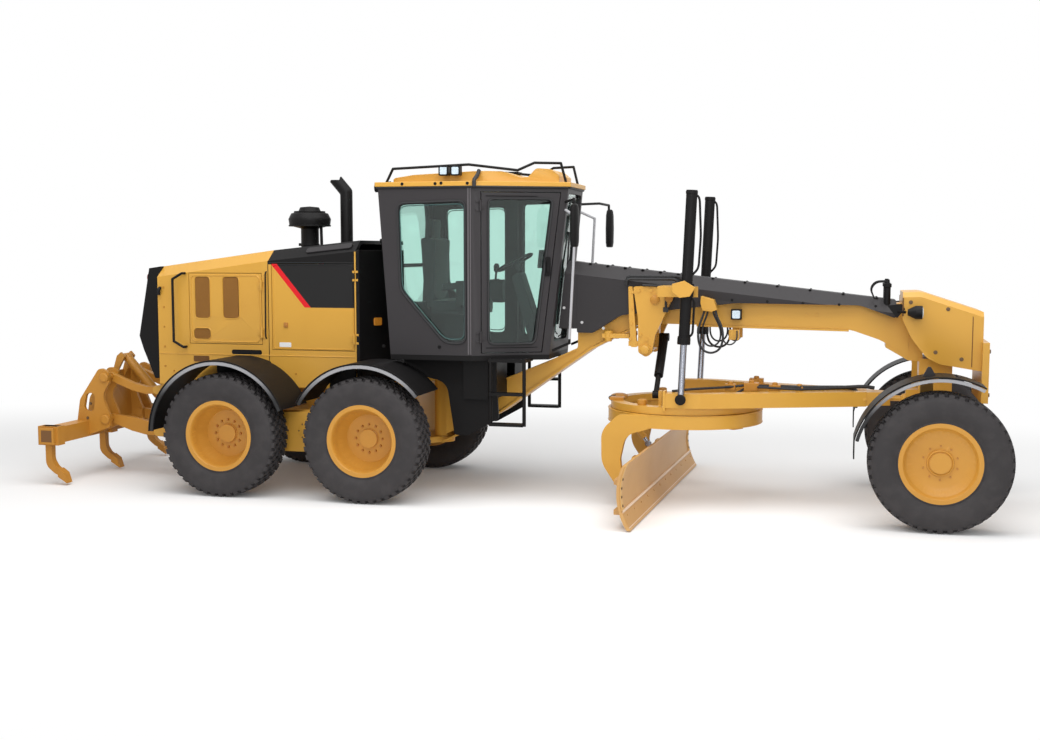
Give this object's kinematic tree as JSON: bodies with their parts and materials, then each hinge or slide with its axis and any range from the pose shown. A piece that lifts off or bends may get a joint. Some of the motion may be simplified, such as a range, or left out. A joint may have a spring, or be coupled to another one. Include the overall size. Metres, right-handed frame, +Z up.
{
  "type": "articulated motor grader with rear ripper",
  "caption": "Articulated motor grader: tandem rear drive, cab, arched front frame, turning circle with curved blade, leaning steered front wheels and rear ripper",
  "frame": {"origin": "on the ground, under the middle of the machine's bounding box", "axes": "+X forward, +Y to the machine's left, +Z up"},
  "size_m": [9.675, 3.6601, 3.338],
  "materials": {
    "yellow_paint": "semi-gloss yellow paint",
    "black_paint": "satin black paint",
    "dark_grey_paint": "satin dark grey paint",
    "blade_paint": "pale yellow paint, lightly worn",
    "tyre": "matt black rubber",
    "glass": "lightly tinted glass",
    "rod_steel": "polished rod",
    "seat_plastic": "matt dark plastic and cloth",
    "cast_iron": "dull grey"
  },
  "bodies": {
    "rear_frame": {"rear_frame": "yellow_paint", "engine_block": "cast_iron", "hood_shell": "yellow_paint", "hood_cap": "black_paint", "rear_grille": "black_paint", "stacks": "black_paint", "rear_fenders": "black_paint"},
    "front_frame": {"front_frame": "yellow_paint", "frame_cover": "dark_grey_paint", "saddle": "yellow_paint", "front_axle": "yellow_paint", "cab_base": "black_paint", "cab_frame": "dark_grey_paint", "cab_windows": "glass", "cab_roof": "yellow_paint", "cab_fittings": "black_paint", "cab_interior": "seat_plastic"},
    "ripper_lower_links": {"ripper_lower_links": "yellow_paint"},
    "ripper_upper_links": {"ripper_upper_links": "yellow_paint"},
    "ripper_carriage": {"ripper_carriage": "yellow_paint"},
    "ripper_barrel": {"ripper_barrel": "yellow_paint"},
    "ripper_rod": {"ripper_rod": "rod_steel"},
    "drawbar": {"drawbar": "yellow_paint"},
    "circle": {"circle": "yellow_paint"},
    "blade_carrier": {"blade_carrier": "yellow_paint"},
    "moldboard": {"moldboard": "blade_paint"},
    "tip_barrel": {"tip_barrel": "yellow_paint"},
    "tip_rod": {"tip_rod": "rod_steel"},
    "shift_barrel": {"shift_barrel": "black_paint"},
    "shift_rod": {"shift_rod": "rod_steel"},
    "wheel_middle_right": {"tyre_middle_right": "tyre", "rim_middle_right": "yellow_paint"},
    "wheel_rear_right": {"tyre_rear_right": "tyre", "rim_rear_right": "yellow_paint"},
    "vent_door_right": {"vent_door_right": "yellow_paint"},
    "service_door_right": {"service_door_right": "yellow_paint"},
    "lean_yoke_right": {"lean_yoke_right": "yellow_paint"},
    "knuckle_right": {"steering_knuckle_right": "yellow_paint", "front_fender_right": "black_paint"},
    "wheel_front_right": {"tyre_front_right": "tyre", "rim_front_right": "yellow_paint"},
    "cab_door_right": {"cab_door_right": "dark_grey_paint", "cab_door_glass_right": "glass"},
    "lift_barrel_right": {"lift_barrel_right": "black_paint"},
    "lift_rod_right": {"lift_rod_right": "rod_steel"},
    "wheel_middle_left": {"tyre_middle_left": "tyre", "rim_middle_left": "yellow_paint"},
    "wheel_rear_left": {"tyre_rear_left": "tyre", "rim_rear_left": "yellow_paint"},
    "vent_door_left": {"vent_door_left": "yellow_paint"},
    "service_door_left": {"service_door_left": "yellow_paint"},
    "lean_yoke_left": {"lean_yoke_left": "yellow_paint"},
    "knuckle_left": {"steering_knuckle_left": "yellow_paint", "front_fender_left": "black_paint"},
    "wheel_front_left": {"tyre_front_left": "tyre", "rim_front_left": "yellow_paint"},
    "cab_door_left": {"cab_door_left": "dark_grey_paint", "cab_door_glass_left": "glass"},
    "lift_barrel_left": {"lift_barrel_left": "black_paint"},
    "lift_rod_left": {"lift_rod_left": "rod_steel"}
  },
  "joints": [
    {"name": "articulation", "type": "hinge", "parent": "rear_frame", "child": "front_frame", "pos_m": [-0.67, 0, 0.825], "axis": [0, 0, 1], "range_deg": [-20, 20]},
    {"name": "middle_wheel_right", "type": "hinge", "parent": "rear_frame", "child": "wheel_middle_right", "pos_m": [-1.1315, -1.07, 0.62], "axis": [0, 1, 0], "continuous": true},
    {"name": "rear_wheel_right", "type": "hinge", "parent": "rear_frame", "child": "wheel_rear_right", "pos_m": [-2.6545, -1.07, 0.62], "axis": [0, 1, 0], "continuous": true},
    {"name": "vent_door_right_hinge", "type": "hinge", "parent": "rear_frame", "child": "vent_door_right", "pos_m": [-2.447, -0.634, 1.865], "axis": [0, 0, 1], "range_deg": [0, 90]},
    {"name": "service_door_right_hinge", "type": "hinge", "parent": "rear_frame", "child": "service_door_right", "pos_m": [-1.427, -0.634, 1.89], "axis": [0, 0, 1], "range_deg": [0, 90]},
    {"name": "lean_right", "type": "hinge", "parent": "front_frame", "child": "lean_yoke_right", "pos_m": [4.23, -0.745, 0.62], "axis": [1, 0, 0], "range_deg": [-18, 18]},
    {"name": "steer_right", "type": "hinge", "parent": "lean_yoke_right", "child": "knuckle_right", "pos_m": [4.23, -0.93, 0.62], "axis": [0, 0, 1], "range_deg": [-47.5, 47.5]},
    {"name": "front_wheel_right", "type": "hinge", "parent": "knuckle_right", "child": "wheel_front_right", "pos_m": [4.23, -1.07, 0.62], "axis": [0, 1, 0], "continuous": true},
    {"name": "cab_door_right_hinge", "type": "hinge", "parent": "front_frame", "child": "cab_door_right", "pos_m": [-0.054, -0.76219, 2.2], "axis": [0, 0, -1], "range_deg": [0, 110]},
    {"name": "middle_wheel_left", "type": "hinge", "parent": "rear_frame", "child": "wheel_middle_left", "pos_m": [-1.1315, 1.07, 0.62], "axis": [0, 1, 0], "continuous": true},
    {"name": "rear_wheel_left", "type": "hinge", "parent": "rear_frame", "child": "wheel_rear_left", "pos_m": [-2.6545, 1.07, 0.62], "axis": [0, 1, 0], "continuous": true},
    {"name": "vent_door_left_hinge", "type": "hinge", "parent": "rear_frame", "child": "vent_door_left", "pos_m": [-2.447, 0.634, 1.865], "axis": [0, 0, -1], "range_deg": [0, 90]},
    {"name": "service_door_left_hinge", "type": "hinge", "parent": "rear_frame", "child": "service_door_left", "pos_m": [-1.427, 0.634, 1.89], "axis": [0, 0, -1], "range_deg": [0, 90]},
    {"name": "lean_left", "type": "hinge", "parent": "front_frame", "child": "lean_yoke_left", "pos_m": [4.23, 0.745, 0.62], "axis": [1, 0, 0], "range_deg": [-18, 18]},
    {"name": "steer_left", "type": "hinge", "parent": "lean_yoke_left", "child": "knuckle_left", "pos_m": [4.23, 0.93, 0.62], "axis": [0, 0, 1], "range_deg": [-47.5, 47.5]},
    {"name": "front_wheel_left", "type": "hinge", "parent": "knuckle_left", "child": "wheel_front_left", "pos_m": [4.23, 1.07, 0.62], "axis": [0, 1, 0], "continuous": true},
    {"name": "cab_door_left_hinge", "type": "hinge", "parent": "front_frame", "child": "cab_door_left", "pos_m": [-0.054, 0.76219, 2.2], "axis": [0, 0, 1], "range_deg": [0, 110]},
    {"name": "ripper_lift", "type": "hinge", "parent": "rear_frame", "child": "ripper_lower_links", "pos_m": [-3.83, 0, 0.5], "axis": [0, 1, 0], "range_deg": [-40, 40]},
    {"name": "ripper_upper_swing", "type": "hinge", "parent": "rear_frame", "child": "ripper_upper_links", "pos_m": [-3.83, 0, 0.96], "axis": [0, 1, 0], "range_deg": [-40, 40]},
    {"name": "ripper_carriage_level", "type": "hinge", "parent": "ripper_lower_links", "child": "ripper_carriage", "pos_m": [-4.41, 0, 0.63], "axis": [0, 1, 0], "range_deg": [-40, 40]},
    {"name": "ripper_barrel_swing", "type": "hinge", "parent": "ripper_carriage", "child": "ripper_barrel", "pos_m": [-4.41, 0, 1.29], "axis": [0, 1, 0], "range_deg": [-21.12, 21.12]},
    {"name": "ripper_rod_slide", "type": "slide", "parent": "ripper_barrel", "child": "ripper_rod", "axis": [0.6743, 0, -0.7385], "range_m": [-0.236, 0.236]},
    {"name": "drawbar_pitch", "type": "hinge", "parent": "front_frame", "child": "drawbar", "pos_m": [3.97, 0, 1.05], "axis": [0, 1, 0], "range_deg": [-20, 11.5]},
    {"name": "lift_swing_right", "type": "hinge", "parent": "front_frame", "child": "lift_barrel_right", "pos_m": [1.95573, -0.8, 2.1], "axis": [0, 1, 0], "range_deg": [-3.3, 1.99]},
    {"name": "lift_slide_right", "type": "slide", "parent": "lift_barrel_right", "child": "lift_rod_right", "axis": [-0.0424, 0, -0.9991], "range_m": [-0.41, 0.712]},
    {"name": "lift_swing_left", "type": "hinge", "parent": "front_frame", "child": "lift_barrel_left", "pos_m": [1.95573, 0.8, 2.1], "axis": [0, 1, 0], "range_deg": [-3.3, 1.99]},
    {"name": "lift_slide_left", "type": "slide", "parent": "lift_barrel_left", "child": "lift_rod_left", "axis": [-0.0424, 0, -0.9991], "range_m": [-0.41, 0.712]},
    {"name": "shift_swing", "type": "hinge", "parent": "front_frame", "child": "shift_barrel", "pos_m": [1.63, 0.06, 1.6], "axis": [1, 0, 0], "range_deg": [-14, 24.2]},
    {"name": "shift_slide", "type": "slide", "parent": "shift_barrel", "child": "shift_rod", "axis": [0, -0.717, -0.6971], "range_m": [-0.162, 0.281]},
    {"name": "circle_turn", "type": "hinge", "parent": "drawbar", "child": "circle", "pos_m": [1.855, 0, 0.84], "axis": [0, 0, 1], "continuous": true},
    {"name": "blade_tip", "type": "hinge", "parent": "circle", "child": "blade_carrier", "pos_m": [1.4304, 0.01854, 0.225], "axis": [0.0436, 0.999, 0], "range_deg": [-5, 40]},
    {"name": "tip_swing", "type": "hinge", "parent": "circle", "child": "tip_barrel", "pos_m": [1.28055, 0.02508, 0.8], "axis": [0.0436, 0.999, 0], "range_deg": [-11.79, 1.65]},
    {"name": "tip_slide", "type": "slide", "parent": "tip_barrel", "child": "tip_rod", "axis": [0.5902, -0.0258, -0.8069], "range_m": [-0.025, 0.19]},
    {"name": "blade_side_shift", "type": "slide", "parent": "blade_carrier", "child": "moldboard", "axis": [0.0436, 0.999, 0], "range_m": [-0.66, 0.51]}
  ],
  "couplings": [
    {"joint": "lean_left", "follows": "lean_right", "ratio": 1},
    {"joint": "steer_left", "follows": "steer_right", "ratio": 1},
    {"joint": "ripper_upper_swing", "follows": "ripper_lift", "ratio": 1},
    {"joint": "ripper_carriage_level", "follows": "ripper_lift", "ratio": -1},
    {"joint": "ripper_barrel_swing", "follows": "ripper_lift", "ratio": 0.52288},
    {"joint": "ripper_rod_slide", "follows": "ripper_lift", "m_per_rad": 0.33631},
    {"joint": "lift_swing_right", "follows": "drawbar_pitch", "ratio": 0.15516},
    {"joint": "lift_slide_right", "follows": "drawbar_pitch", "m_per_rad": -2.036},
    {"joint": "lift_swing_left", "follows": "drawbar_pitch", "ratio": 0.15516},
    {"joint": "lift_slide_left", "follows": "drawbar_pitch", "m_per_rad": -2.036},
    {"joint": "shift_swing", "follows": "drawbar_pitch", "ratio": -1.2},
    {"joint": "shift_slide", "follows": "drawbar_pitch", "m_per_rad": -0.8},
    {"joint": "tip_swing", "follows": "blade_tip", "ratio": -0.28977},
    {"joint": "tip_slide", "follows": "blade_tip", "m_per_rad": 0.2707}
  ]
}
